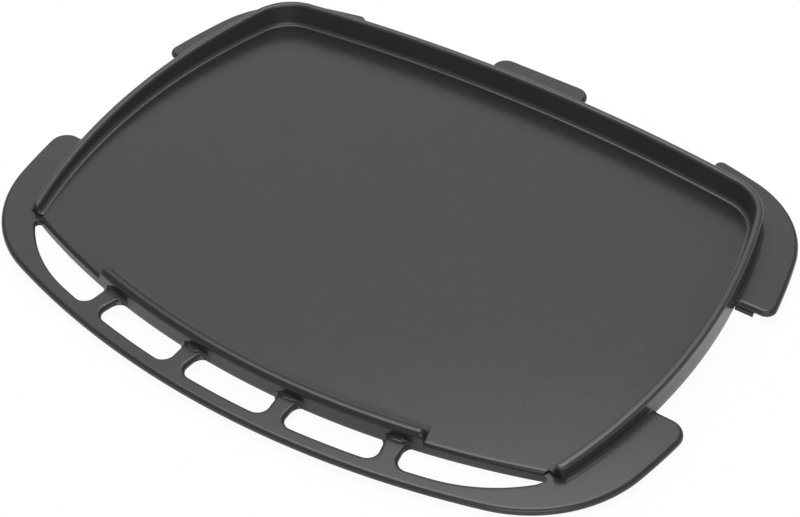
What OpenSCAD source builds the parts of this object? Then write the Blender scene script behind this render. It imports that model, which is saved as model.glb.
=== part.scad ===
// Camp griddle plate: one enamelled iron casting that drops into a portable gas grill.
// The casting is described feature by feature: a tray with a sloping rim, a drain lip,
// a slotted front rail, four ears, a rear tab and two lugs.
// X runs to the right, Y to the rear, Z up; the origin is below the middle of the plate.

/* [Flange] */
// Width of the flange outline at its widest, between the ears
flange_w = 404.8; // [394.8:0.2:414.8]
// Depth of the plate, from the rail's front edge to the end of the rear tab
plate_d = 316; // [308:1:330]
// How far the widest point lies behind the middle of the plate
flange_widest_y = -1.8; // [-8:0.2:4]
// Radius of the outline along the front rail
flange_front_r = 476.6; // [450:0.2:500]
// Radius of the outline along the sides
flange_side_r = 389.9; // [360:0.1:420]
// Radius of the outline along the rear
flange_rear_r = 590; // [560:1:700]
// Radius of the outline's front corners
flange_front_corner_r = 74.7; // [64:0.1:82]
// Radius of the outline's rear corners
flange_rear_corner_r = 63.6; // [56:0.1:74]
// Thickness of the rail, the ears and the tab
flange_t = 3.9; // [3.6:0.1:4.8]
// Height of the flange's underside over the foot of the walls
flange_lift = 2.6; // [2:0.1:3]

/* [Tray] */
// How far the flange's widest point reaches past the tray's side walls
ear_w = 20.9; // [18:0.1:24]
// How far the tray's widest point lies behind the middle of the plate
tray_widest_y = 1.1; // [-4:0.1:6]
// Radius of the side walls' outer faces
tray_side_r = 337.2; // [315:0.1:370]
// Radius of the rear wall's outer face
tray_rear_r = 998; // [880:2:1100]
// Radius of the tray's rear corners
tray_corner_r = 30.2; // [26:0.1:34]
// Height of the cooking floor over the foot of the walls
floor_z = 8; // [7:0.25:9]
// Thickness of the cooking floor
floor_t = 4.5; // [4:0.25:5.5]

/* [Walls] */
// Thickness of the rim at its top
wall_t = 4.1; // [3.6:0.1:5]
// Draft of the walls' inner faces, in degrees
wall_draft = 3; // [1:0.5:5]
// Draft of the walls' outer faces above the ears, in degrees
wall_lean = 1; // [0.5:0.1:3]
// Radius of the rim's edges
rim_edge_r = 1.7; // [1:0.1:1.9]
// Radius of the side walls' front ends
wall_end_r = 2; // [1:0.1:2.2]
// Radius of the edge at the foot of the walls
foot_edge_r = 1.5; // [0.5:0.1:1.5]
// How far the walls draw in below the flange, so that the plate drops in freely
foot_set = 0.3; // [0.2:0.05:0.5]
// Radius of the fillet between a wall and the floor
floor_fillet_r = 2.4; // [2:0.1:4]
// Height of the rim at the rear wall
rim_rear_h = 22.9; // [20:0.1:27]
// Height of the rim at the front ends of the side walls
rim_front_h = 13.4; // [11:0.1:15]

/* [Front] */
// Depth of the front rail, from its edge to the front wall
rail_depth = 25.3; // [23:0.1:27]
// Width of the rail's bar in front of the slots
rail_w = 8.9; // [7:0.1:10]
// Half of the angle that the rail's even bar spans
rail_half_angle = 14.1; // [13.6:0.1:14.8]
// Angle from the tips of the outer slots to the tray's front corners
slot_end_angle = 0.73; // [0.6:0.01:1.2]
// Radius of the outer slots' tips
slot_tip_r = 2; // [1.5:0.1:2.4]
// Width of the posts between the slots
post_w = 10.4; // [8:0.2:12]
// Angle from post to post
post_pitch = 7.5; // [7.2:0.1:7.8]
// Radius of the fillets between the posts and the rail
post_fillet_r = 6; // [4:0.25:7]
// Radius of the fillets between the posts and the front wall
post_root_r = 5; // [3:0.25:6]
// Height of the drain lip over the floor
lip_h = 6.3; // [5:0.1:8]
// Thickness of the drain lip
lip_t = 4.2; // [3.4:0.1:5]
// Radius of the fillet between the drain lip and the floor
lip_fillet_r = 2; // [1:0.25:2]
// Angle from the outer posts to the ends of the drain lip
lip_end_angle = 1.4; // [0.9:0.1:1.6]
// Radius of the drain lip's upper corners at its ends
lip_end_r = 3; // [1.5:0.25:4]
// Width of the strip of floor that carries the lip and the drain sills
sill_w = 13; // [11.5:0.5:16]
// Radius of the drain sills' outer edges
sill_edge_r = 2; // [1:0.1:2]

/* [Ears and tab] */
// Distance from the plate's front edge to the rear ends of the front ears
front_ear_l = 118.2; // [111:0.2:124]
// Radius of the front ears' outer corners
front_ear_corner_r = 9.6; // [6:0.1:12]
// Distance from the plate's rear edge to the front ends of the rear ears
rear_ear_l = 108.5; // [104:0.1:114]
// Gap between the two rear ears, along the rear wall
rear_ear_gap = 238; // [220:1:250]
// Radius of the rear ears' corners at their front ends
rear_ear_corner_r = 6.1; // [4:0.1:8]
// Radius of the rear ears' corners at their rear ends
rear_ear_end_r = 4; // [2:0.5:5]
// Length of the rear tab, from the rear wall
tab_l = 27.7; // [25:0.1:31]
// Width of the rear tab
tab_w = 62; // [50:0.2:76]
// Radius of the rear tab's corners
tab_corner_r = 8.4; // [5:0.2:11]
// Width of the lugs under the rear ears, from the wall
lug_w = 10; // [8:0.5:12]
// Length of the lugs under the rear ears
lug_l = 24; // [16:1:34]

/* [Hidden] */
$fn = 360;
small_fn = 64;
tall = 60;
wide = 1000;
// How far the centre of an edge's rounding lies inside the faces, as a part of its radius
round_bite = 0.9;
// How far a fillet's root sinks into the feature that it belongs to
web_sink = 0.5;
// How far a cutter stands clear of the face that it trims
clear = 1;
// How far a post's straight sides run on into the rail and the wall
post_overlap = 0.5;
// Extra angle by which a sweep runs past the face that trims it
trim_angle = 4;

flange_top = flange_lift + flange_t;
floor_bottom = floor_z - floor_t;
rear_edge_y = plate_d / 2;
front_edge_y = -plate_d / 2;
rear_wall_y = rear_edge_y - tab_l;
tray_front_r = flange_front_r - rail_depth;
rail_inner_r = flange_front_r - rail_w;
rim_set = (rim_rear_h - flange_top) * tan(wall_lean);
inner_w = rim_set + wall_t + (rim_rear_h - floor_z) * tan(wall_draft);
foot_w = inner_w + floor_fillet_r * tan(45 - wall_draft / 2);
front_ear_end_y = front_edge_y + front_ear_l;
rear_ear_end_y = rear_edge_y - rear_ear_l;
rear_ear_end_x = rear_ear_gap / 2;

// Centres of the arcs that make the outline and the tray
front_c = [0, front_edge_y + flange_front_r];
flange_side_c = [flange_w / 2 - flange_side_r, flange_widest_y];
flange_rear_c = [0, rear_edge_y - flange_rear_r];
tray_side_c = [flange_w / 2 - ear_w - tray_side_r, tray_widest_y];
tray_rear_c = [0, rear_wall_y - tray_rear_r];

// A point where two circles meet; side picks the one to the left (1) or right (-1) of p to q
function circles_meet(p, rp, q, rq, side) =
    let (
        d = norm(q - p),
        u = (q - p) / d,
        a = (rp * rp - rq * rq + d * d) / (2 * d),
        h = sqrt(rp * rp - a * a)
    )
    p + a * u + side * h * [-u.y, u.x];

// The centre of a corner arc of radius r that touches two larger arcs from inside
function corner_centre(p, rp, q, rq, r, side) = circles_meet(p, rp - r, q, rq - r, side);

// The right-hand or upper point of an arc at a given y or x
function arc_x(centre, r, y) = centre.x + sqrt(r * r - pow(y - centre.y, 2));
function arc_y(centre, r, x) = centre.y + sqrt(r * r - pow(x - centre.x, 2));

// The unit vector from p to q, and its angle
function direction(p, q) = (q - p) / norm(q - p);
function bearing(p, q) = atan2(q.y - p.y, q.x - p.x);

flange_front_corner_c = corner_centre(front_c, flange_front_r, flange_side_c, flange_side_r,
                                      flange_front_corner_r, 1);
flange_rear_corner_c = corner_centre(flange_rear_c, flange_rear_r, flange_side_c, flange_side_r,
                                     flange_rear_corner_r, -1);
front_ear_corner_y = front_ear_end_y - front_ear_corner_r;
front_ear_corner_c = [arc_x(flange_side_c, flange_side_r - front_ear_corner_r, front_ear_corner_y),
                      front_ear_corner_y];
rear_ear_front_y = rear_ear_end_y + rear_ear_corner_r;
rear_ear_front_c = [arc_x(flange_side_c, flange_side_r - rear_ear_corner_r, rear_ear_front_y),
                    rear_ear_front_y];
rear_ear_rear_x = rear_ear_end_x + rear_ear_end_r;
rear_ear_rear_c = [rear_ear_rear_x, arc_y(flange_rear_c, flange_rear_r - rear_ear_end_r, rear_ear_rear_x)];
tab_corner_c = [tab_w / 2, rear_edge_y] - tab_corner_r * [1, 1];
tray_corner_c = corner_centre(tray_rear_c, tray_rear_r, tray_side_c, tray_side_r, tray_corner_r, -1);

// Bearings at which the tray's arcs join
rear_join = bearing(tray_rear_c, tray_corner_c);
side_join = bearing(tray_side_c, tray_corner_c);
front_corner = circles_meet(front_c, tray_front_r, tray_side_c, tray_side_r, 1);
side_end = bearing(tray_side_c, front_corner);
side_end_dir = direction(tray_side_c, front_corner);
side_wall_angle = asin(front_corner.x / tray_front_r);
lip_half_angle = 1.5 * post_pitch + lip_end_angle;
rail_end = [sin(rail_half_angle), -cos(rail_half_angle)];
slot_tip_angle = side_wall_angle - slot_end_angle;
slot_tip_c = front_c + (tray_front_r + slot_tip_r) * [sin(slot_tip_angle), -cos(slot_tip_angle)];

// The outer slots' edge on the ears is an arc that touches the rail's bar at its end, and the tip's circle
rail_end_to_tip = slot_tip_c - front_c - rail_inner_r * rail_end;
drain_r = (pow(slot_tip_r, 2) - rail_end_to_tip * rail_end_to_tip)
          / (2 * (rail_end_to_tip * rail_end + slot_tip_r));
drain_c = front_c + (rail_inner_r - drain_r) * rail_end;
rim_slope = atan((rim_rear_h - rim_front_h) / (rear_wall_y - front_corner.y));

// Colours of the casting, a shade apart from feature to feature
tray_grey = "#4a4a4b";
rim_grey = "#3d3d3e";
flange_grey = "#545455";

module disc(centre, r) {
    translate(centre) circle(r = r);
}

module mirrored() {
    children();
    mirror([1, 0, 0]) children();
}

module left() {
    mirror([1, 0, 0]) children();
}

// What a rounded corner takes away: the corner outside an arc of radius r, between its tangent points
module corner_cut(centre, to_first, to_second, r) {
    first = centre + r * to_first;
    second = centre + r * to_second;
    beyond = centre + 2 * r / (1 + to_first * to_second) * (to_first + to_second);
    difference() {
        polygon([centre, first, beyond, second]);
        disc(centre, r);
    }
}

// The web that a fillet of radius r adds in a square corner, with its root sunk below the first side
module fillet_web(corner, r) {
    centre = corner + [r, r];
    difference() {
        polygon([
            corner - [0, web_sink], corner + [0, r], centre, corner + [r, -web_sink]
        ]);
        translate(centre) circle(r = r, $fn = small_fn);
    }
}

// A section turned about a centre, from one bearing to another
module sweep(centre, from, to) {
    translate(centre) rotate(from) rotate_extrude(angle = to - from) children();
}

// What rounding takes off a square edge at the origin, with the solid to the left and below
module rounding_section(r) {
    bite = round_bite * r;
    translate([-bite, -bite])
        difference() {
            square(bite + clear);
            circle(r = r, $fn = small_fn);
        }
}

// Outline of the rail, the ears and the tab, as one closed curve of tangent arcs
module flange_outline() {
    difference() {
        intersection() {
            disc(front_c, flange_front_r);
            disc(flange_rear_c, flange_rear_r);
            disc(flange_side_c, flange_side_r);
            left() disc(flange_side_c, flange_side_r);
        }
        mirrored() {
            corner_cut(flange_front_corner_c, direction(front_c, flange_front_corner_c),
                       direction(flange_side_c, flange_front_corner_c), flange_front_corner_r);
            corner_cut(flange_rear_corner_c, direction(flange_rear_c, flange_rear_corner_c),
                       direction(flange_side_c, flange_rear_corner_c), flange_rear_corner_r);
        }
    }
}

// Outline of the tray, drawn in from the walls' outer faces and, by another inset, from the front
module tray_outline(inset, front_inset) {
    difference() {
        intersection() {
            disc(front_c, tray_front_r - front_inset);
            disc(tray_rear_c, tray_rear_r - inset);
            disc(tray_side_c, tray_side_r - inset);
            left() disc(tray_side_c, tray_side_r - inset);
        }
        mirrored()
            corner_cut(tray_corner_c, direction(tray_rear_c, tray_corner_c),
                       direction(tray_side_c, tray_corner_c), tray_corner_r - inset);
    }
}

// What rounding takes off the foot of a wall with its outer face at radius r
module foot_cut(r) {
    corner_cut([r - foot_set - foot_edge_r, foot_edge_r], [1, 0], [0, -1], foot_edge_r);
}

// Section of the rim: foot, floor fillet and drafted wall, for an outer face at radius r
module wall_section(r) {
    top_r = r - rim_set;
    fillet_c = [r - foot_w, floor_z + floor_fillet_r];
    difference() {
        polygon([
            [r - foot_set, 0], [r - foot_set, foot_edge_r], [r, flange_lift],
            [r, flange_top], [top_r, rim_rear_h], [top_r, tall],
            [top_r - wall_t, tall], [top_r - wall_t, rim_rear_h],
            fillet_c + floor_fillet_r * [cos(wall_draft), -sin(wall_draft)], fillet_c,
            [r - foot_w, floor_bottom], [r - wall_t, floor_bottom], [r - wall_t, 0]
        ]);
        translate(fillet_c) circle(r = floor_fillet_r, $fn = small_fn);
        foot_cut(r);
    }
}

// Height of the sloping rim plane at a given y
function rim_h(y) = rim_rear_h + (y - rear_wall_y) * tan(rim_slope);

// A cutter along the rim, in the rim's own plane; the face tapers and its radius is given at height 0
module rim_edge(centre, r, taper, from, to, stretch) {
    edge_r = r + taper * rim_h(centre.y);
    edge_y = centre.y + taper * tan(rim_slope) * edge_r;
    translate([centre.x, (edge_y - rear_wall_y) / cos(rim_slope), 0])
        rotate(from)
            rotate_extrude(angle = to - from)
                translate([edge_r * stretch, 0]) children();
}

// A stretch of the rim about a centre, from one bearing to another, below the sloping rim plane
module wall(centre, r, from, to, stretch) {
    difference() {
        sweep(centre, from, to) wall_section(r);
        translate([0, rear_wall_y, rim_rear_h]) rotate([rim_slope, 0, 0]) {
            translate([-wide / 2, -wide, 0]) cube([wide, 2 * wide, 2 * tall]);
            rim_edge(centre, r + flange_top * tan(wall_lean), -tan(wall_lean),
                     from - trim_angle, to + trim_angle, stretch)
                rounding_section(rim_edge_r);
            rim_edge(centre, r - inner_w - floor_z * tan(wall_draft), tan(wall_draft),
                     from - trim_angle, to + trim_angle, stretch)
                mirror([1, 0]) rounding_section(rim_edge_r);
        }
    }
}

// Section of a drain sill; the floor runs out over it
module sill_section() {
    r = tray_front_r;
    difference() {
        polygon([
            [r - foot_set, 0], [r - foot_set, foot_edge_r], [r, flange_lift], [r, floor_z],
            [r - sill_w, floor_z], [r - sill_w, floor_bottom],
            [r - wall_t, floor_bottom], [r - wall_t, 0]
        ]);
        corner_cut([r - sill_edge_r, floor_z - sill_edge_r], [1, 0], [0, 1], sill_edge_r);
        foot_cut(r);
    }
}

// Section of the lip: a round-topped dam over the front wall's face, and its fillet to the floor
module lip_section() {
    r = tray_front_r;
    round_r = lip_t / 2;
    round_c = [r - round_r, floor_z + lip_h - round_r];
    fillet_c = [r - lip_t - lip_fillet_r, floor_z + lip_fillet_r];
    difference() {
        polygon([
            [r - foot_set, 0], [r - foot_set, foot_edge_r], [r, flange_lift], [r, floor_z + lip_h],
            [r - lip_t, floor_z + lip_h], [r - lip_t, fillet_c.y], fillet_c,
            [fillet_c.x, floor_z], [r - sill_w, floor_z], [r - sill_w, floor_bottom],
            [r - wall_t, floor_bottom], [r - wall_t, 0]
        ]);
        foot_cut(r);
        corner_cut(round_c, [1, 0], [0, 1], round_r);
        corner_cut(round_c, [-1, 0], [0, 1], round_r);
        translate(fillet_c) circle(r = lip_fillet_r, $fn = small_fn);
    }
}

// A section turned about the front arcs' centre, between two angles from the middle of the front
module front_sweep(from, to) {
    sweep(front_c, from - 90, to - 90) children();
}

module tray_floor() {
    color(tray_grey)
        translate([0, 0, floor_bottom]) linear_extrude(floor_t) tray_outline(foot_w, sill_w);
}

module rear_wall() {
    color(rim_grey) wall(tray_rear_c, tray_rear_r, rear_join, 180 - rear_join, 1 / cos(rim_slope));
}

module rear_right_corner() {
    color(rim_grey) wall(tray_corner_c, tray_corner_r, side_join, rear_join, 1);
}

module rear_left_corner() {
    left() rear_right_corner();
}

// Plan of what rounds off the outer corner of the right side wall's front end
module wall_end_plan() {
    end_turn = [-side_end_dir.y, side_end_dir.x];
    end_c = tray_side_c + (tray_side_r - wall_end_r) * side_end_dir + wall_end_r * end_turn;
    corner_cut(end_c, side_end_dir, -end_turn, wall_end_r);
}

module right_wall() {
    color(rim_grey)
        difference() {
            wall(tray_side_c, tray_side_r, side_end, side_join, 1);
            translate([0, 0, flange_top]) linear_extrude(tall) wall_end_plan();
        }
}

module left_wall() {
    left() right_wall();
}

// What rounds off the upper corner of the lip's right end
module lip_end_cut() {
    translate(front_c) rotate(lip_half_angle - 90)
        translate([tray_front_r - sill_w, 0, floor_z])
            rotate([90, 0, 90])
                linear_extrude(sill_w)
                    corner_cut([-lip_end_r, lip_h - lip_end_r], [1, 0], [0, 1], lip_end_r);
}

module front_lip() {
    color(rim_grey)
        difference() {
            front_sweep(-lip_half_angle, lip_half_angle) lip_section();
            mirrored() lip_end_cut();
        }
}

module right_drain_sill() {
    color(rim_grey)
        intersection() {
            front_sweep(lip_half_angle, side_wall_angle + trim_angle) sill_section();
            linear_extrude(tall) disc(tray_side_c, tray_side_r - foot_w);
        }
}

module left_drain_sill() {
    left() right_drain_sill();
}

module front_rail() {
    color(flange_grey)
        front_sweep(-rail_half_angle, rail_half_angle)
            translate([rail_inner_r, flange_lift]) square([rail_w, flange_t]);
}

// One post between two slots, at an angle from the middle of the front
module post(angle) {
    slot_w = rail_inner_r - tray_front_r;
    translate([0, 0, flange_lift])
        linear_extrude(flange_t)
            intersection() {
                difference() {
                    disc(front_c, rail_inner_r);
                    disc(front_c, tray_front_r);
                }
                translate(front_c) rotate(angle) translate([0, -tray_front_r - slot_w / 2]) {
                    square([post_w, slot_w + 2 * post_overlap], center = true);
                    mirrored() {
                        fillet_web([post_w / 2, -slot_w / 2], post_fillet_r);
                        mirror([0, 1]) fillet_web([post_w / 2, -slot_w / 2], post_root_r);
                    }
                }
            }
}

module left_outer_post() {
    color(flange_grey) post(-1.5 * post_pitch);
}

module left_inner_post() {
    color(flange_grey) post(-0.5 * post_pitch);
}

module right_inner_post() {
    color(flange_grey) post(0.5 * post_pitch);
}

module right_outer_post() {
    color(flange_grey) post(1.5 * post_pitch);
}

// Plan of the ground that the right side wall stands on
module side_wall_plan() {
    difference() {
        disc(tray_side_c, tray_side_r);
        disc(tray_side_c, tray_side_r - foot_w);
        polygon([tray_side_c, tray_side_c + wide * side_end_dir, tray_side_c - [wide, wide]]);
    }
}

// Plan of the right front ear: from the end of the rail's even bar round to the side
module front_ear_plan() {
    difference() {
        intersection() {
            flange_outline();
            translate([0, front_ear_end_y - wide]) square(wide);
        }
        tray_outline(foot_w, 0);
        side_wall_plan();
        outer_slot_plan();
        polygon([front_c, front_c + wide * rail_end, front_c - wide * [1, 1]]);
        corner_cut(front_ear_corner_c, [0, 1], direction(flange_side_c, front_ear_corner_c),
                   front_ear_corner_r);
    }
}

// The part of the right outer slot that runs into the ear, up to its rounded tip
module outer_slot_plan() {
    difference() {
        intersection() {
            disc(drain_c, drain_r);
            square([2 * front_corner.x, wide], center = true);
        }
        disc(front_c, tray_front_r);
        corner_cut(slot_tip_c, direction(drain_c, slot_tip_c), direction(slot_tip_c, front_c), slot_tip_r);
    }
}

module right_front_ear() {
    color(flange_grey) translate([0, 0, flange_lift]) linear_extrude(flange_t) front_ear_plan();
}

module left_front_ear() {
    left() right_front_ear();
}

// Plan of the right rear ear, which wraps the tray's rear corner
module rear_ear_plan() {
    difference() {
        intersection() {
            flange_outline();
            translate([rear_ear_end_x, rear_ear_end_y]) square(wide);
        }
        tray_outline(0, 0);
        corner_cut(rear_ear_front_c, [0, -1], direction(flange_side_c, rear_ear_front_c), rear_ear_corner_r);
        corner_cut(rear_ear_rear_c, [-1, 0], direction(flange_rear_c, rear_ear_rear_c), rear_ear_end_r);
    }
}

module right_rear_ear() {
    color(flange_grey) translate([0, 0, flange_lift]) linear_extrude(flange_t) rear_ear_plan();
}

module left_rear_ear() {
    left() right_rear_ear();
}

module rear_tab() {
    color(flange_grey)
        translate([0, 0, flange_lift])
            linear_extrude(flange_t)
                difference() {
                    translate([-tab_w / 2, 0]) square([tab_w, rear_edge_y]);
                    disc(tray_rear_c, tray_rear_r);
                    mirrored() corner_cut(tab_corner_c, [1, 0], [0, 1], tab_corner_r);
                }
}

// A lug under a rear ear, beside the wall, that locates the plate in the grill's body
module right_rear_lug() {
    color(flange_grey)
        linear_extrude(flange_lift)
            difference() {
                intersection() {
                    disc(tray_side_c, tray_side_r + lug_w);
                    translate([0, rear_ear_end_y]) square([wide, lug_l]);
                }
                disc(tray_side_c, tray_side_r);
            }
}

module left_rear_lug() {
    left() right_rear_lug();
}

tray_floor();
rear_wall();
rear_left_corner();
rear_right_corner();
left_wall();
right_wall();
front_lip();
left_drain_sill();
right_drain_sill();
front_rail();
left_outer_post();
left_inner_post();
right_inner_post();
right_outer_post();
left_front_ear();
right_front_ear();
left_rear_ear();
right_rear_ear();
rear_tab();
left_rear_lug();
right_rear_lug();
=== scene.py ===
"""Looks of the camp griddle plate: one enamelled iron casting, dressed feature by feature."""
import cmath
from math import asin, cos, pi, radians, sin, sqrt, tan

import bmesh
import bpy
from mathutils import Matrix, Vector


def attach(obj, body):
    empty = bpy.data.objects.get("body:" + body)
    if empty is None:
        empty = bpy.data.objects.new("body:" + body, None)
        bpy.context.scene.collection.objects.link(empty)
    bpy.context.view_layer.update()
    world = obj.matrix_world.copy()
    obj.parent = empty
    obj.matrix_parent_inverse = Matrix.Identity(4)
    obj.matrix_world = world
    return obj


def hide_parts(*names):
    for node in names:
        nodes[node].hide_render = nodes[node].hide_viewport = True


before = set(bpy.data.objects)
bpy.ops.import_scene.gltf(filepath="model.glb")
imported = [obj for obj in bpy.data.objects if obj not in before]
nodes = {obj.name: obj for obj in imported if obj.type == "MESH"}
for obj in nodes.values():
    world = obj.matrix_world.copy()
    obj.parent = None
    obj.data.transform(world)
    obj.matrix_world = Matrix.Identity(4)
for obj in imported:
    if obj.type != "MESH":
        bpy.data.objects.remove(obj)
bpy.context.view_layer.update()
scene = bpy.context.scene
scene.view_settings.view_transform = "Standard"

MM = 0.001

# The photograph's camera: where it stands in metres, how it is turned, and its focal length in pixels
CAMERA_AT = (0.4129, -0.5904, 0.6558)
CAMERA_AZIMUTH = radians(34.697)
CAMERA_ELEVATION = radians(43.157)
CAMERA_ROLL = radians(-0.323)
FOCAL_PIXELS = 1816.05
IMAGE_WIDTH = 800
SENSOR_WIDTH = 36
CLIP_START = 0.01
CLIP_END = 50

# Soft lamps turned to the middle of the plate: place and size in metres, power in watts
LAMPS = {
    "overhead": ((-0.22, 0.27, 1.5), (1.1, 1.2), 16),
    "rear": ((-0.86, 1.24, 1.0), (1.9, 1.1), 5.3),
    "fill": ((1.1, -1.3, 1.0), (1.6, 1.2), 12),
}
DOME_STRENGTH = 0.3

# The floor of the stage: half its width and its level in metres, and its paint
STAGE_HALF = 20
STAGE_LEVEL = -0.0004
STAGE_PAINT = (0.92, 0.92, 0.92, 1)
WHITE = (1, 1, 1, 1)
# How much of that floor is plain white to each kind of ray that meets it
WHITE_SHARES = {"Is Camera Ray": 0.94, "Is Glossy Ray": 0.5, "Is Transmission Ray": 0.5}

# The enamel: how far its tone and roughness wander, each noise's scale and detail, the part of a noise's
# range that counts, and the depth of the coat's orange-peel in millimetres
ENAMEL_IOR = 1.5
MOTTLE = 0.06
TONE_NOISE = (28, 4)
SHEEN_NOISE = (160, 3)
PEEL_NOISE = (900, 3)
NOISE_LOW = 0.3
NOISE_HIGH = 0.7
PEEL_DEPTH = 0.05

# Sizes of the casting in millimetres. Most are the CAD model's own; the lip, the roots of the posts, the tips
# of the slots and the front ends of the side walls are drawn closer to the photograph.

# The flange: its outline, its thickness and how far it stands off the ground
FLANGE_W = 404.8
PLATE_D = 316
FLANGE_WIDEST_Y = -1.8
FLANGE_FRONT_R = 476.6
FLANGE_SIDE_R = 389.9
FLANGE_REAR_R = 590
FLANGE_FRONT_CORNER_R = 74.7
FLANGE_REAR_CORNER_R = 63.6
FLANGE_T = 3.9
FLANGE_LIFT = 2.6

# The tray: its outline, its floor, and the wall with its rim and foot
EAR_W = 20.9
TRAY_WIDEST_Y = 1.1
TRAY_SIDE_R = 337.2
TRAY_REAR_R = 998
TRAY_CORNER_R = 30.2
FLOOR_Z = 8
FLOOR_T = 4.5
FLOOR_FILLET_R = 2.4
WALL_T = 4.1
WALL_DRAFT = radians(3)
WALL_LEAN = radians(1)
RIM_EDGE_R = 1.7
RIM_REAR_H = 22.9
RIM_FRONT_H = 13.4
FOOT_EDGE_R = 1.5
FOOT_SET = 0.3

# The rail, the slots behind it and the posts between them
RAIL_DEPTH = 25.3
RAIL_W = 8.9
RAIL_HALF_ANGLE = radians(14.1)
SLOT_END_ANGLE = radians(1.25)
SLOT_TIP_R = 2
POST_W = 10.4
POST_PITCH = radians(7.5)
POST_FILLET_R = 6
POST_ROOT_R = 2.5
POST_UNDER_ROOT_R = 7

# The drain lip, and the sills beside it
LIP_H = 5.7
LIP_T = 6
LIP_FILLET_H = 2.6
LIP_FILLET_L = 6.8
LIP_END_ANGLE = radians(1.65)
LIP_END_R = 3
LIP_END_POWER = 2.6
SILL_W = 13
SILL_EDGE_R = 2

# The ears and the tab
FRONT_EAR_L = 118.2
FRONT_EAR_CORNER_R = 9.6
REAR_EAR_L = 108.5
REAR_EAR_GAP = 238
REAR_EAR_CORNER_R = 6.1
REAR_EAR_END_R = 4
TAB_L = 27.7
TAB_W = 62
TAB_CORNER_R = 8.4

# The front end of a side wall. Its rounding draws the section down, and in by a share of the way to its
# middle; this sets in over a height above the floor. Its inner side reaches out along the front by a share
# of the thickness; this sets in over a height above the flange and fades out over a length of the wall.
WALL_END_R = 2.2
WALL_END_DRAW = 0.55
WALL_END_DROP = 1.1
WALL_END_DRAW_H = 2
WALL_END_SKEW = 0.65
WALL_END_SKEW_H = 1
WALL_END_SKEW_L = 9

# Edge rounding of the flange, the coves where it runs up the walls, and the length over which
# the rounding fades out towards a root or a joint
EDGE_R = 2.2
UNDER_EDGE_R = 1.4
COVE_R = 2.2
ROOT_COVE_R = 1.8
FADE_L = 5.5

# Steps of the rounds in a section, of its straight faces, and of the runs where pieces meet point by point.
# The arcs that only one piece uses have their number of steps as their last value.
ROUND_STEPS = 6
WALL_FACE_STEPS = 4
LIP_FACE_STEPS = 6
WALL_END_STEPS = 6
SIDE_STEPS = 48
CORNER_STEPS = 22
REAR_STEPS = 60
LIP_STEPS = 64
LIP_END_STEPS = 10
SILL_STEPS = 24

# Flat strips kept beside the rounds of the rim and the flange, in millimetres
RIM_SUPPORT = 0.3
EDGE_SUPPORT = 0.4

# Limits of the mesh. In metres, points closer than the weld become one, and a point closer to a cut than its
# reach lies on it. Bearings closer than the gap count as one, and an inset below the least as none.
# An edge that turns more than the sharp angle is shaded sharp, and a corner of an outline is mitred where
# the sine of its turn is over the limit.
WELD = 2e-6
CUT_REACH = 1e-7
BEARING_GAP = 1e-4
LEAST_INSET = 1e-6
SHARP_ANGLE = radians(38)
MITRE_SINE = 0.25

FLANGE_TOP = FLANGE_LIFT + FLANGE_T
FLOOR_BOTTOM = FLOOR_Z - FLOOR_T
REAR_Y = PLATE_D / 2
FRONT_Y = -PLATE_D / 2
REAR_WALL_Y = REAR_Y - TAB_L
TRAY_FRONT_R = FLANGE_FRONT_R - RAIL_DEPTH
RAIL_INNER_R = FLANGE_FRONT_R - RAIL_W
RIM_SET = (RIM_REAR_H - FLANGE_TOP) * tan(WALL_LEAN)
INNER_W = RIM_SET + WALL_T + (RIM_REAR_H - FLOOR_Z) * tan(WALL_DRAFT)
FOOT_W = INNER_W + FLOOR_FILLET_R * tan(pi / 4 - WALL_DRAFT / 2)
FLOOR_SIDE_R = TRAY_SIDE_R - FOOT_W
FLOOR_FRONT_R = TRAY_FRONT_R - SILL_W
OUTER_POST_ANGLE = 1.5 * POST_PITCH
INNER_POST_ANGLE = 0.5 * POST_PITCH
LIP_HALF_ANGLE = OUTER_POST_ANGLE + LIP_END_ANGLE
LIP_END_TURN = LIP_END_R / TRAY_FRONT_R


# Plan geometry, with points as complex numbers: x to the right, y to the rear

def meet(p, rp, q, rq, side):
    """A point where two circles meet, to the left (1) or right (-1) of p to q."""
    d = abs(q - p)
    u = (q - p) / d
    along = (rp * rp - rq * rq + d * d) / (2 * d)
    return p + along * u + side * sqrt(rp * rp - along * along) * u * 1j


def polar(centre, r, angle):
    return centre + r * cmath.exp(1j * angle)


def bearing(p, q):
    return cmath.phase(q - p)


def spread(first, last, count):
    """Even steps from one number or point to another, both among them."""
    return [first + (last - first) * i / count for i in range(count + 1)]


def arc(centre, r, first, last, count):
    return [polar(centre, r, a) for a in spread(first, last, count)]


def arc_x(centre, r, y):
    """The x of a circle's right side at a given y."""
    return centre.real + sqrt(r * r - (y - centre.imag) ** 2)


def arc_y(centre, r, x):
    """The y of a circle's rear side at a given x."""
    return centre.imag + sqrt(r * r - (x - centre.real) ** 2)


def at_front(r, angle):
    """A point at a radius about the front arcs' centre, at an angle from the middle of the front."""
    return polar(FRONT_C, r, angle - pi / 2)


def front_angle(point):
    return cmath.phase((point - FRONT_C) * 1j)


def front_arc(r, first, last, count):
    return [at_front(r, a) for a in spread(first, last, count)]


def mirrored(points):
    """The mirror image of a run of points, in the opposite order."""
    return [complex(-p.real, p.imag) for p in reversed(points)]


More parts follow.
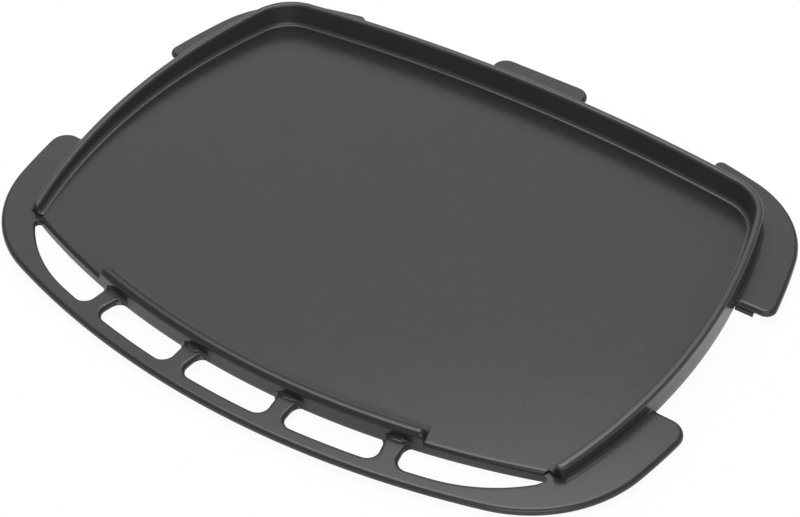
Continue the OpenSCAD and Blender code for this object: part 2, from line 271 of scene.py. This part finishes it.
FRONT_C = complex(0, FRONT_Y + FLANGE_FRONT_R)
FLANGE_SIDE_C = complex(FLANGE_W / 2 - FLANGE_SIDE_R, FLANGE_WIDEST_Y)
FLANGE_REAR_C = complex(0, REAR_Y - FLANGE_REAR_R)
TRAY_SIDE_C = complex(FLANGE_W / 2 - EAR_W - TRAY_SIDE_R, TRAY_WIDEST_Y)
TRAY_REAR_C = complex(0, REAR_WALL_Y - TRAY_REAR_R)
FLANGE_FRONT_CORNER_C = meet(FRONT_C, FLANGE_FRONT_R - FLANGE_FRONT_CORNER_R,
                             FLANGE_SIDE_C, FLANGE_SIDE_R - FLANGE_FRONT_CORNER_R, 1)
FLANGE_REAR_CORNER_C = meet(FLANGE_REAR_C, FLANGE_REAR_R - FLANGE_REAR_CORNER_R,
                            FLANGE_SIDE_C, FLANGE_SIDE_R - FLANGE_REAR_CORNER_R, -1)
TRAY_CORNER_C = meet(TRAY_REAR_C, TRAY_REAR_R - TRAY_CORNER_R,
                     TRAY_SIDE_C, TRAY_SIDE_R - TRAY_CORNER_R, -1)
REAR_JOIN = bearing(TRAY_REAR_C, TRAY_CORNER_C)
SIDE_JOIN = bearing(TRAY_SIDE_C, TRAY_CORNER_C)
FRONT_CORNER = meet(FRONT_C, TRAY_FRONT_R, TRAY_SIDE_C, TRAY_SIDE_R, 1)
SIDE_END = bearing(TRAY_SIDE_C, FRONT_CORNER)
SIDE_WALL_ANGLE = asin(FRONT_CORNER.real / TRAY_FRONT_R)
RIM_SLOPE = (RIM_REAR_H - RIM_FRONT_H) / (REAR_WALL_Y - FRONT_CORNER.imag)

# Where the sections of the rim and the lip stand, and with them the points of the floor's edge
FLOOR_START = meet(FRONT_C, FLOOR_FRONT_R, TRAY_SIDE_C, FLOOR_SIDE_R, 1)
FLOOR_BEARING = bearing(TRAY_SIDE_C, FLOOR_START)
END_BEARINGS = spread(SIDE_END, SIDE_END + WALL_END_R / TRAY_SIDE_R, WALL_END_STEPS)
SIDE_BEARINGS = spread(FLOOR_BEARING, SIDE_JOIN, SIDE_STEPS)
CORNER_BEARINGS = spread(SIDE_JOIN, REAR_JOIN, CORNER_STEPS)
REAR_BEARINGS = spread(REAR_JOIN, pi - REAR_JOIN, REAR_STEPS)
LIP_ENDS = [LIP_HALF_ANGLE - LIP_END_TURN * (1 - sin(a)) for a in spread(0, pi / 2, LIP_END_STEPS)]
LIP_MIDDLE = spread(-LIP_ENDS[0], LIP_ENDS[0], LIP_STEPS)[1:-1]
LIP_ANGLES = [-a for a in reversed(LIP_ENDS)] + LIP_MIDDLE + LIP_ENDS


# Meshes

def lift(point, z):
    """A point of the plan at a level, in metres."""
    return (point.real * MM, point.imag * MM, z * MM)


def flip(verts):
    return [(-x, y, z) for x, y, z in verts]


def mesh_of(verts, faces):
    bm = bmesh.new()
    made = [bm.verts.new(v) for v in verts]
    for face in faces:
        bm.faces.new([made[i] for i in face])
    bmesh.ops.remove_doubles(bm, verts=bm.verts, dist=WELD)
    return bm


def finish_piece(name, bm, enamel_and_light, *replaced):
    """A closed piece that rides on the plate and stands for its CAD nodes."""
    bmesh.ops.remove_doubles(bm, verts=bm.verts, dist=WELD)
    bmesh.ops.dissolve_degenerate(bm, dist=WELD, edges=bm.edges)
    bmesh.ops.recalc_face_normals(bm, faces=bm.faces)
    mesh = bpy.data.meshes.new(name)
    bm.to_mesh(mesh)
    bm.free()
    mesh.polygons.foreach_set("use_smooth", [True] * len(mesh.polygons))
    mesh.set_sharp_from_angle(angle=SHARP_ANGLE)
    mesh.materials.append(ENAMEL_AND_PAINTED_LIGHT[enamel_and_light])
    piece = bpy.data.objects.new(name, mesh)
    scene.collection.objects.link(piece)
    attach(piece, "root")
    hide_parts(*replaced)


def add_piece(name, verts, faces, enamel_and_light):
    """A piece that stands for the one CAD node of its own name."""
    finish_piece(name, mesh_of(verts, faces), enamel_and_light, name)


def add_both(name, verts, faces, enamel_and_light):
    """A right-hand piece and its mirror image; the word side in the name is filled in."""
    add_piece(name.replace("side", "right"), verts, faces, enamel_and_light)
    add_piece(name.replace("side", "left"), flip(verts), faces, enamel_and_light)


def loft(rows):
    """Points and faces of a solid through a row of like sections, closed at both ends."""
    size = len(rows[0])
    verts = [v for row in rows for v in row]
    faces = []
    for i in range(len(rows) - 1):
        for j in range(size):
            k = (j + 1) % size
            faces.append((i * size + j, i * size + k, (i + 1) * size + k, (i + 1) * size + j))
    faces.append(tuple(range(size)))
    faces.append(tuple(range(len(verts) - size, len(verts))))
    return verts, faces


# Sections of the rim and the lip: distance in from the outer face, and level

def rounding(d, z, r, first, last):
    """A round of a section about a centre, from one bearing to another."""
    return [(d + r * cos(a), z + r * sin(a)) for a in spread(first, last, ROUND_STEPS)]


def foot_profile():
    """The foot of a wall, from its inner side under the floor round to the flange's underside."""
    points = [(WALL_T, FLOOR_BOTTOM), (WALL_T, 0)]
    points += rounding(FOOT_SET + FOOT_EDGE_R, FOOT_EDGE_R, FOOT_EDGE_R, 3 * pi / 2, pi)
    points.append((0, FLANGE_LIFT))
    return points


def rim_height(y):
    return RIM_REAR_H + (y - REAR_WALL_Y) * RIM_SLOPE


def wall_profile(height):
    """Section of the rim where it is so high, with its fillet to the floor."""
    def outer(z):
        return (z - FLANGE_TOP) * tan(WALL_LEAN)

    def inner(z):
        return RIM_SET + WALL_T + (RIM_REAR_H - z) * tan(WALL_DRAFT)

    r = RIM_EDGE_R
    edge_z = height - r
    fillet_z = FLOOR_Z + FLOOR_FILLET_R
    face_top = edge_z - RIM_SUPPORT
    points = [(FOOT_W, FLOOR_BOTTOM)] + foot_profile()
    points += [(outer(z), z) for z in spread(FLANGE_TOP, face_top, WALL_FACE_STEPS)]
    points += rounding(outer(edge_z) + r, edge_z, r, pi, pi / 2)
    points += rounding(inner(edge_z) - r, edge_z, r, pi / 2, 0)
    points += [(inner(z), z) for z in spread(face_top, fillet_z + RIM_SUPPORT, WALL_FACE_STEPS)]
    points += rounding(FOOT_W, fillet_z, FLOOR_FILLET_R, pi + WALL_DRAFT, 3 * pi / 2)
    return points


def nub(profile, past_end):
    """A side wall's section near its front end, drawn in to a rounded nub."""
    short = 1 - sqrt(1 - (1 - min(past_end / WALL_END_R, 1)) ** 2)
    middle = RIM_SET + WALL_T / 2
    shaped = []
    for d, z in profile:
        share = short * max(0, min((z - FLOOR_Z) / WALL_END_DRAW_H, 1))
        shaped.append((d + share * (middle - d) * WALL_END_DRAW, z - share * WALL_END_DROP))
    return shaped


def end_reach(d, z, past_end):
    """How far a side wall's front end reaches out along the front, more on its inner side."""
    above = max(0, min((z - FLANGE_TOP) / WALL_END_SKEW_H, 1))
    return WALL_END_SKEW * min(d, WALL_T) * above * max(1 - past_end / WALL_END_SKEW_L, 0)


def lip_profile():
    """Section of the drain lip, with the long low slope behind it."""
    r = LIP_T / 2
    round_z = FLOOR_Z + LIP_H - r
    points = [(SILL_W, FLOOR_BOTTOM)] + foot_profile()
    points += [(0, z) for z in spread(FLANGE_LIFT, round_z, LIP_FACE_STEPS)[1:-1]]
    points += rounding(r, round_z, r, pi, pi / 2)
    points += rounding(r, round_z, r, pi / 2, 0)[1:]
    for a in spread(pi, 3 * pi / 2, 2 * ROUND_STEPS):
        points.append((LIP_T + LIP_FILLET_L * (1 + cos(a)), FLOOR_Z + LIP_FILLET_H * (1 + sin(a))))
    points.append((SILL_W, FLOOR_Z))
    return points


def sill_point(d, z):
    """The point of a drain sill's section that answers to a point of the lip's."""
    across = max(SILL_EDGE_R - d, 0)
    return (d, min(z, FLOOR_Z - SILL_EDGE_R + sqrt(SILL_EDGE_R ** 2 - across ** 2)))


def sill_angles(r):
    """Where a drain sill's sections stand at a radius, from the lip's end to the foot of the side wall."""
    end = asin(meet(FRONT_C, r, TRAY_SIDE_C, FLOOR_SIDE_R, 1).real / r)
    return spread(LIP_HALF_ANGLE, end, SILL_STEPS)


# Pieces of the tray

def wall_rows(centre, r, bearings, end=None):
    """Sections of the rim along an arc; a side wall also has the bearing of its front end."""
    rows = []
    for b in bearings:
        profile = wall_profile(rim_height(polar(centre, r - WALL_T / 2, b).imag))
        reach = [0] * len(profile)
        if end is not None:
            past_end = (b - end) * r
            profile = nub(profile, past_end)
            reach = [end_reach(d, z, past_end) for d, z in profile]
        rows.append([lift(polar(centre, r - d, b - out / r), z) for (d, z), out in zip(profile, reach)])
    return rows


def add_walls():
    ends = [b for b in END_BEARINGS if b < FLOOR_BEARING - BEARING_GAP]
    verts, faces = loft(wall_rows(TRAY_SIDE_C, TRAY_SIDE_R, ends + SIDE_BEARINGS, SIDE_END))
    add_both("side_wall", verts, faces, "rim")
    verts, faces = loft(wall_rows(TRAY_CORNER_C, TRAY_CORNER_R, CORNER_BEARINGS))
    add_both("rear_side_corner", verts, faces, "rim")
    verts, faces = loft(wall_rows(TRAY_REAR_C, TRAY_REAR_R, REAR_BEARINGS))
    add_piece("rear_wall", verts, faces, "rim")


def add_lip():
    profile = lip_profile()
    rows = []
    for angle in LIP_ANGLES:
        past_end = (LIP_HALF_ANGLE - abs(angle)) / LIP_END_TURN
        full = (1 - max(1 - past_end, 0) ** LIP_END_POWER) ** (1 / LIP_END_POWER)
        row = []
        for d, z in profile:
            low = sill_point(d, z)[1]
            row.append(lift(at_front(TRAY_FRONT_R - d, angle), low + (z - low) * full))
        rows.append(row)
    verts, faces = loft(rows)
    add_piece("front_lip", verts, faces, "lip")


def add_sills():
    profile = [sill_point(d, z) for d, z in lip_profile()]
    angles = {d: sill_angles(TRAY_FRONT_R - d) for d, z in profile}
    rows = []
    for step in range(SILL_STEPS + 1):
        rows.append([lift(at_front(TRAY_FRONT_R - d, angles[d][step]), z) for d, z in profile])
    verts, faces = loft(rows)
    add_both("side_drain_sill", verts, faces, "lip")


def add_tray_floor():
    """The cooking floor, whose edge follows the walls, the sills and the lip point by point."""
    half = [polar(TRAY_SIDE_C, FLOOR_SIDE_R, b) for b in SIDE_BEARINGS]
    half += [polar(TRAY_CORNER_C, TRAY_CORNER_R - FOOT_W, b) for b in CORNER_BEARINGS[1:]]
    half += [polar(TRAY_REAR_C, TRAY_REAR_R - FOOT_W, b) for b in REAR_BEARINGS[1:REAR_STEPS // 2 + 1]]
    sill = [at_front(FLOOR_FRONT_R, a) for a in sill_angles(FLOOR_FRONT_R)]
    lip = [at_front(FLOOR_FRONT_R, a) for a in LIP_ANGLES]
    edge = half + mirrored(half[:-1]) + mirrored(sill)[1:] + lip[1:-1] + sill[:-1]
    verts, faces = loft([[lift(p, z) for p in edge] for z in (FLOOR_Z, FLOOR_BOTTOM)])
    add_piece("tray_floor", verts, faces, "tray")


# Plates of the flange: an outline whose free edges are rounded and whose foot runs up the wall in a cove.
# A root is a post's foot on the front wall, and a joint is an edge that another piece covers.

ROUND, COVE, ROOT, JOINT = "round", "cove", "root", "joint"


def upper_levels():
    """From the top face over the edge: for each kind of edge, its inset and level."""
    flat = (0, FLANGE_TOP)
    rings = [{ROUND: (EDGE_R + EDGE_SUPPORT, FLANGE_TOP), COVE: (COVE_R + EDGE_SUPPORT, FLANGE_TOP),
              ROOT: (ROOT_COVE_R + EDGE_SUPPORT, FLANGE_TOP), JOINT: flat}]
    for a in spread(0, pi / 2, ROUND_STEPS):
        out, down = 1 - sin(a), 1 - cos(a)
        rings.append({ROUND: (EDGE_R * out, FLANGE_TOP - EDGE_R * down),
                      COVE: (COVE_R * out, FLANGE_TOP + COVE_R * down),
                      ROOT: (ROOT_COVE_R * out, FLANGE_TOP + ROOT_COVE_R * down),
                      JOINT: flat})
    return rings


def under_levels():
    """From the edge round to the underside: for each kind of edge, its inset and level."""
    flat = (0, FLANGE_LIFT)
    unders = []
    for a in spread(pi / 2, 0, ROUND_STEPS):
        unders.append((UNDER_EDGE_R * (1 - sin(a)), FLANGE_LIFT + UNDER_EDGE_R * (1 - cos(a))))
    unders.append((UNDER_EDGE_R + EDGE_SUPPORT, FLANGE_LIFT))
    return [{ROUND: under, COVE: flat, ROOT: flat, JOINT: flat} for under in unders]


def inset_point(point, before, after, first, second):
    """A corner of an outline moved in, by its own distance from each of its two edges."""
    if first + second < LEAST_INSET:
        return point
    a = 1j * (point - before) / abs(point - before)
    b = 1j * (after - point) / abs(after - point)
    turn = a.real * b.imag - a.imag * b.real
    if abs(turn) < MITRE_SINE:
        middle = (a + b) / abs(a + b)
        return point + middle * (first + second) / 2
    x = (first * b.imag - second * a.imag) / turn
    y = (a.real * second - b.real * first) / turn
    return point + complex(x, y)


def plate_rows(stretches, rings, face):
    """Rings of points in from an outline; the rounding fades out towards the tips of its roots and joints."""
    points, kinds = [], []
    for stretch, kind in stretches:
        points += stretch[:-1]
        kinds += [kind] * (len(stretch) - 1)
    count = len(points)
    ends_of_rounding = ({ROUND, ROOT}, {ROUND, JOINT})
    tips = [points[i] for i in range(count) if {kinds[i - 1], kinds[i]} in ends_of_rounding]
    shares = [min([1] + [(abs(p - tip) / FADE_L) ** 2 for tip in tips]) for p in points]
    rows = []
    for ring in rings:
        row = []
        for i in range(count):
            (first, first_z), (second, second_z) = ring[kinds[i - 1]], ring[kinds[i]]
            moved = inset_point(points[i], points[i - 1], points[(i + 1) % count],
                                first * shares[i], second * shares[i])
            row.append(lift(moved, face + ((first_z + second_z) / 2 - face) * shares[i]))
        rows.append(row)
    return rows


def plate(stretches, under=None):
    """Points and faces of a plate; each stretch of its outline, anticlockwise, has points and a kind."""
    return loft(plate_rows(stretches, upper_levels(), FLANGE_TOP)
                + plate_rows(under or stretches, under_levels(), FLANGE_LIFT))


def mirror_stretches(stretches):
    return [(mirrored(points), kind) for points, kind in reversed(stretches)]


def post_side(angle, right, root_fillet):
    """A post's side from the rail to the wall, on its right (1) or left (-1)."""
    def place(across, along):
        return FRONT_C + complex(right * across, -along) * cmath.exp(1j * angle)

    rail_reach = RAIL_INNER_R - POST_FILLET_R
    rail_c = POST_W / 2 + POST_FILLET_R
    rail_r = sqrt(rail_reach ** 2 - rail_c ** 2)
    root_reach = TRAY_FRONT_R + root_fillet
    root_c = POST_W / 2 + root_fillet
    root_r = sqrt(root_reach ** 2 - root_c ** 2)
    points = []
    for a in spread(asin(rail_c / rail_reach), -pi / 2, 10):
        points.append(place(rail_c + POST_FILLET_R * sin(a), rail_r + POST_FILLET_R * cos(a)))
    for a in spread(-pi / 2, -pi + asin(root_c / root_reach), 12):
        points.append(place(root_c + root_fillet * sin(a), root_r + root_fillet * cos(a)))
    return points


def front_ear_edge():
    """The front flange's free edge, from the middle of its front round the right ear to the side wall."""
    corner, side = FLANGE_FRONT_CORNER_C, FLANGE_SIDE_C
    end_y = FRONT_Y + FRONT_EAR_L
    ear_y = end_y - FRONT_EAR_CORNER_R
    ear = complex(arc_x(side, FLANGE_SIDE_R - FRONT_EAR_CORNER_R, ear_y), ear_y)
    wall_start = complex(arc_x(TRAY_SIDE_C, TRAY_SIDE_R, end_y), end_y)
    edge = arc(FRONT_C, FLANGE_FRONT_R, -pi / 2, bearing(FRONT_C, corner), 60)
    edge += arc(corner, FLANGE_FRONT_CORNER_R, bearing(FRONT_C, corner), bearing(side, corner), 36)[1:]
    edge += arc(side, FLANGE_SIDE_R, bearing(side, corner), bearing(side, ear), 16)[1:]
    edge += arc(ear, FRONT_EAR_CORNER_R, bearing(side, ear), pi / 2, 14)[1:]
    edge += spread(edge[-1], wall_start, 4)[1:]
    return edge


def slot_end_edge(start):
    """The outer slot's end: along the front wall from a point, round the tip and along to the rail."""
    rail_end = at_front(1, RAIL_HALF_ANGLE) - FRONT_C
    tip_angle = SIDE_WALL_ANGLE - SLOT_END_ANGLE
    tip = at_front(TRAY_FRONT_R + SLOT_TIP_R, tip_angle)
    reach = tip - FRONT_C - RAIL_INNER_R * rail_end
    along = (reach * rail_end.conjugate()).real
    drain_r = (SLOT_TIP_R ** 2 - abs(reach) ** 2) / (2 * (along + SLOT_TIP_R))
    drain = FRONT_C + (RAIL_INNER_R - drain_r) * rail_end
    edge = front_arc(TRAY_FRONT_R, front_angle(start), tip_angle, 3)
    edge += arc(tip, SLOT_TIP_R, bearing(tip, FRONT_C), bearing(drain, tip), 12)[1:]
    edge += arc(drain, drain_r, bearing(drain, tip), RAIL_HALF_ANGLE - pi / 2, 30)[1:]
    return edge


def right_front_stretches(root_fillet):
    """The front flange's right half: out along its front edge, round the ear and back along the slots."""
    edge = front_ear_edge()
    wall = arc(TRAY_SIDE_C, TRAY_SIDE_R, bearing(TRAY_SIDE_C, edge[-1]), SIDE_END, 24)
    wall_end = [polar(TRAY_SIDE_C, r, SIDE_END) for r in (TRAY_SIDE_R, TRAY_SIDE_R - WALL_T, FLOOR_SIDE_R)]
    sill_corner = meet(FRONT_C, TRAY_FRONT_R, TRAY_SIDE_C, FLOOR_SIDE_R, 1)
    sill = arc(TRAY_SIDE_C, FLOOR_SIDE_R, SIDE_END, bearing(TRAY_SIDE_C, sill_corner), 4)
    stretches = [(edge, ROUND), (wall, COVE), (wall_end, JOINT), (sill, JOINT)]
    slot = slot_end_edge(sill_corner)
    here = RAIL_HALF_ANGLE
    for angle in (OUTER_POST_ANGLE, INNER_POST_ANGLE):
        right = post_side(angle, 1, root_fillet)
        left = list(reversed(post_side(angle, -1, root_fillet)))
        slot += front_arc(RAIL_INNER_R, here, front_angle(right[0]), 16)[1:]
        slot += right[1:]
        stretches.append((slot, ROUND))
        root = front_arc(TRAY_FRONT_R, front_angle(right[-1]), front_angle(left[0]), 32)
        stretches.append((root, ROOT))
        slot = left
        here = front_angle(left[-1])
    slot += front_arc(RAIL_INNER_R, here, 0, 10)[1:]
    stretches.append((slot, ROUND))
    return stretches


def part_of(verts, faces, cuts):
    """The part of a solid on the kept side of each upright plane through the front arcs' centre."""
    bm = mesh_of(verts, faces)
    for angle, keep_right in cuts:
        across = Vector((cos(angle), sin(angle), 0))
        bmesh.ops.bisect_plane(bm, geom=bm.verts[:] + bm.edges[:] + bm.faces[:], dist=CUT_REACH,
                               plane_co=lift(FRONT_C, 0), plane_no=across,
                               clear_inner=keep_right, clear_outer=not keep_right)
        bmesh.ops.edgenet_fill(bm, edges=[e for e in bm.edges if e.is_boundary])
    return bm


def add_front_flange():
    """The slotted rail with its posts, and the two front ears, cut from one plate."""
    right = right_front_stretches(POST_ROOT_R)
    under = right_front_stretches(POST_UNDER_ROOT_R)
    verts, faces = plate(right + mirror_stretches(right), under + mirror_stretches(under))
    rail = part_of(verts, faces, [(RAIL_HALF_ANGLE, False), (-RAIL_HALF_ANGLE, True)])
    finish_piece("slotted_rail", rail, "flange", "front_rail", "left_outer_post", "left_inner_post",
                 "right_inner_post", "right_outer_post")
    right_ear = part_of(verts, faces, [(RAIL_HALF_ANGLE, True)])
    finish_piece("right_front_ear", right_ear, "flange", "right_front_ear")
    left_ear = part_of(verts, faces, [(-RAIL_HALF_ANGLE, False)])
    finish_piece("left_front_ear", left_ear, "flange", "left_front_ear")


def add_rear_ears():
    side, corner, rear = FLANGE_SIDE_C, FLANGE_REAR_CORNER_C, FLANGE_REAR_C
    front_y = REAR_Y - REAR_EAR_L
    near_y = front_y + REAR_EAR_CORNER_R
    near = complex(arc_x(side, FLANGE_SIDE_R - REAR_EAR_CORNER_R, near_y), near_y)
    end_x = REAR_EAR_GAP / 2
    far_x = end_x + REAR_EAR_END_R
    far = complex(far_x, arc_y(rear, FLANGE_REAR_R - REAR_EAR_END_R, far_x))
    wall_near = complex(arc_x(TRAY_SIDE_C, TRAY_SIDE_R, front_y), front_y)
    wall_far = complex(end_x, arc_y(TRAY_REAR_C, TRAY_REAR_R, end_x))
    edge = spread(wall_near, complex(near.real, front_y), 4)[:-1]
    edge += arc(near, REAR_EAR_CORNER_R, -pi / 2, bearing(side, near), 12)
    edge += arc(side, FLANGE_SIDE_R, bearing(side, near), bearing(side, corner), 16)[1:]
    edge += arc(corner, FLANGE_REAR_CORNER_R, bearing(side, corner), bearing(rear, corner), 36)[1:]
    edge += arc(rear, FLANGE_REAR_R, bearing(rear, corner), bearing(rear, far), 12)[1:]
    edge += arc(far, REAR_EAR_END_R, bearing(rear, far), pi, 10)[1:]
    edge += spread(edge[-1], wall_far, 2)[1:]
    wall = arc(TRAY_REAR_C, TRAY_REAR_R, bearing(TRAY_REAR_C, wall_far), REAR_JOIN, 12)
    wall += arc(TRAY_CORNER_C, TRAY_CORNER_R, REAR_JOIN, SIDE_JOIN, 24)[1:]
    wall += arc(TRAY_SIDE_C, TRAY_SIDE_R, SIDE_JOIN, bearing(TRAY_SIDE_C, wall_near), 16)[1:]
    verts, faces = plate([(edge, ROUND), (wall, COVE)])
    add_both("side_rear_ear", verts, faces, "flange")


def add_tab():
    half = TAB_W / 2
    corner = complex(half, REAR_Y) - TAB_CORNER_R * (1 + 1j)
    start = complex(half, arc_y(TRAY_REAR_C, TRAY_REAR_R, half))
    edge = spread(start, complex(half, corner.imag), 2)[:-1]
    edge += arc(corner, TAB_CORNER_R, 0, pi / 2, 14)
    edge += [complex(x, REAR_Y) for x in spread(corner.real, 0, 4)][1:]
    edge += mirrored(edge[:-1])
    turn = bearing(TRAY_REAR_C, start)
    wall = arc(TRAY_REAR_C, TRAY_REAR_R, pi - turn, turn, 16)
    verts, faces = plate([(edge, ROUND), (wall, COVE)])
    add_piece("rear_tab", verts, faces, "flange")


def dress_lugs():
    """The lugs keep their CAD shape, and get the flange's enamel, with its tone lightened as painted light.
    """
    for lug in ("left_rear_lug", "right_rear_lug"):
        nodes[lug].data.materials.clear()
        nodes[lug].data.materials.append(ENAMEL_AND_PAINTED_LIGHT["flange"])


# Stage

def add_camera():
    az, el = CAMERA_AZIMUTH, CAMERA_ELEVATION
    back = Vector((sin(az) * cos(el), -cos(az) * cos(el), sin(el)))
    level = Vector((cos(az), sin(az), 0))
    upright = back.cross(level)
    right = cos(CAMERA_ROLL) * level + sin(CAMERA_ROLL) * upright
    up = back.cross(right)
    data = bpy.data.cameras.new("camera")
    data.sensor_fit = "HORIZONTAL"
    data.sensor_width = SENSOR_WIDTH
    data.lens = FOCAL_PIXELS / IMAGE_WIDTH * SENSOR_WIDTH
    data.clip_start = CLIP_START
    data.clip_end = CLIP_END
    camera = bpy.data.objects.new("camera", data)
    turn = Matrix((right, up, back)).transposed().to_4x4()
    camera.matrix_world = Matrix.Translation(CAMERA_AT) @ turn
    scene.collection.objects.link(camera)
    scene.camera = camera


def add_world():
    """An even, dim dome; the floor fills the camera's view."""
    world = bpy.data.worlds.new("studio")
    scene.world = world
    world.use_nodes = True
    dome = world.node_tree.nodes["Background"]
    dome.inputs["Color"].default_value = WHITE
    dome.inputs["Strength"].default_value = DOME_STRENGTH


def add_lamp(name, at, size, power):
    data = bpy.data.lights.new(name, "AREA")
    data.shape = "RECTANGLE"
    data.size, data.size_y = size
    data.energy = power
    lamp = bpy.data.objects.new(name, data)
    aim = Vector(at).to_track_quat("Z", "Y").to_matrix().to_4x4()
    lamp.matrix_world = Matrix.Translation(at) @ aim
    scene.collection.objects.link(lamp)


def floor_paint():
    """Pale paint that catches the plate's shadow, mixed with plain white for the rays that show it."""
    material = bpy.data.materials.new("floor")
    material.use_nodes = True
    tree = material.node_tree
    tree.nodes.clear()
    out = tree.nodes.new("ShaderNodeOutputMaterial")
    mix = tree.nodes.new("ShaderNodeMixShader")
    path = tree.nodes.new("ShaderNodeLightPath")

    def combine(operation, first):
        node = tree.nodes.new("ShaderNodeMath")
        node.operation = operation
        tree.links.new(first, node.inputs[0])
        return node

    white_share = None
    for ray, share in WHITE_SHARES.items():
        scaled = combine("MULTIPLY", path.outputs[ray])
        scaled.inputs[1].default_value = share
        if white_share is None:
            white_share = scaled
            continue
        larger = combine("MAXIMUM", white_share.outputs[0])
        tree.links.new(scaled.outputs[0], larger.inputs[1])
        white_share = larger
    paint = tree.nodes.new("ShaderNodeBsdfDiffuse")
    paint.inputs["Color"].default_value = STAGE_PAINT
    glow = tree.nodes.new("ShaderNodeEmission")
    glow.inputs["Color"].default_value = WHITE
    glow.inputs["Strength"].default_value = 1
    tree.links.new(white_share.outputs[0], mix.inputs[0])
    tree.links.new(paint.outputs[0], mix.inputs[1])
    tree.links.new(glow.outputs[0], mix.inputs[2])
    tree.links.new(mix.outputs[0], out.inputs["Surface"])
    return material


def add_floor():
    half, z = STAGE_HALF, STAGE_LEVEL
    corners = [(-half, -half, z), (half, -half, z), (half, half, z), (-half, half, z)]
    mesh = bpy.data.meshes.new("floor")
    mesh.from_pydata(corners, [], [(0, 1, 2, 3)])
    mesh.materials.append(floor_paint())
    floor = bpy.data.objects.new("floor", mesh)
    scene.collection.objects.link(floor)


# Finishes

def enamel(name, tone, roughness, grain):
    """Satin enamel on cast iron: a mottled dark grey, with the fine orange-peel of the coat."""
    material = bpy.data.materials.new(name)
    material.use_nodes = True
    tree = material.node_tree
    shader = tree.nodes["Principled BSDF"]
    shader.inputs["IOR"].default_value = ENAMEL_IOR
    place = tree.nodes.new("ShaderNodeTexCoord")

    def noise(scale, detail):
        node = tree.nodes.new("ShaderNodeTexNoise")
        node.inputs["Scale"].default_value = scale
        node.inputs["Detail"].default_value = detail
        tree.links.new(place.outputs["Object"], node.inputs["Vector"])
        return node.outputs["Fac"]

    def ramp(source, low, high):
        node = tree.nodes.new("ShaderNodeMapRange")
        node.inputs["From Min"].default_value = NOISE_LOW
        node.inputs["From Max"].default_value = NOISE_HIGH
        node.inputs["To Min"].default_value = low
        node.inputs["To Max"].default_value = high
        tree.links.new(source, node.inputs["Value"])
        return node.outputs["Result"]

    darker, lighter = 1 - MOTTLE, 1 + MOTTLE
    colour = tree.nodes.new("ShaderNodeMix")
    colour.data_type = "RGBA"
    colour.inputs["A"].default_value = tuple(c * darker for c in tone) + (1,)
    colour.inputs["B"].default_value = tuple(c * lighter for c in tone) + (1,)
    tree.links.new(ramp(noise(*TONE_NOISE), 0, 1), colour.inputs["Factor"])
    tree.links.new(colour.outputs["Result"], shader.inputs["Base Color"])
    sheen = ramp(noise(*SHEEN_NOISE), roughness * darker, roughness * lighter)
    tree.links.new(sheen, shader.inputs["Roughness"])
    peel = tree.nodes.new("ShaderNodeBump")
    peel.inputs["Strength"].default_value = grain
    peel.inputs["Distance"].default_value = PEEL_DEPTH * MM
    tree.links.new(noise(*PEEL_NOISE), peel.inputs["Height"])
    tree.links.new(peel.outputs["Normal"], shader.inputs["Normal"])
    return material


# Each part's enamel has a tone, a roughness and a strength of orange-peel
# All four are one enamel. The tray's and the lip's tone is the enamel's own dark grey; the rim's lighter tone
# and the flange's slightly lighter one are painted light, standing in for the light the walls and flange
# catch.
ENAMEL_AND_PAINTED_LIGHT = {
    "tray": enamel("tray_enamel", (0.023, 0.023, 0.023), 0.26, 0.06),
    "lip": enamel("lip_enamel", (0.023, 0.023, 0.023), 0.26, 0.06),
    "rim": enamel("rim_enamel_painted_light", (0.047, 0.047, 0.047), 0.25, 0.15),
    "flange": enamel("flange_enamel_painted_light", (0.030, 0.030, 0.0295), 0.26, 0.15),
}

add_camera()
add_world()
for lamp_name, lamp in LAMPS.items():
    add_lamp(lamp_name, *lamp)
add_floor()
add_tray_floor()
add_walls()
add_lip()
add_sills()
add_front_flange()
add_rear_ears()
add_tab()
dress_lugs()
